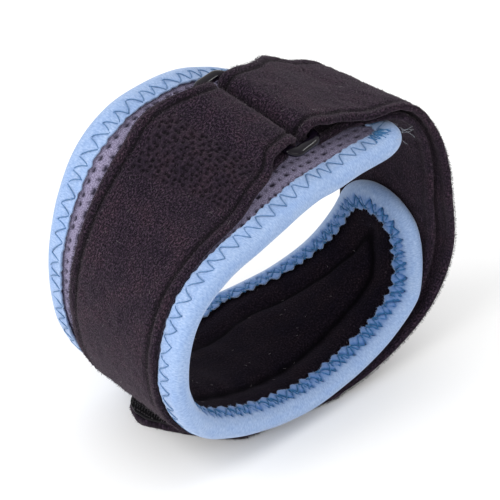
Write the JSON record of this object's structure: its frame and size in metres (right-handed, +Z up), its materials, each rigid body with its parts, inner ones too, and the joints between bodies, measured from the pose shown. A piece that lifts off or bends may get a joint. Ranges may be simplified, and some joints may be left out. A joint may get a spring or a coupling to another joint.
{
  "type": "tennis elbow strap",
  "caption": "Padded forearm band with a taped edge, held by a pull-through strap that turns round a plastic ring and ends in a hook tab.",
  "frame": {"origin": "middle of the bounding box, on the surface that the band stands on", "axes": "+Y along the arm from the near opening to the far one, +Z up, +X to the side that the strap closes on"},
  "size_m": [0.1178, 0.0648, 0.104],
  "materials": {
    "mesh_cloth": "matt perforated knit",
    "fleece": "matt fleece",
    "binding_tape": "soft woven tape",
    "velour": "brushed loop velour",
    "gloss_plastic": "gloss",
    "hook_tape": "fine hooks"
  },
  "bodies": {
    "root": {"shell": "mesh_cloth", "lining": "fleece", "edge_binding": "binding_tape", "strap": "velour", "strap_ring": "gloss_plastic", "hook_tab": "hook_tape"}
  },
  "joints": []
}
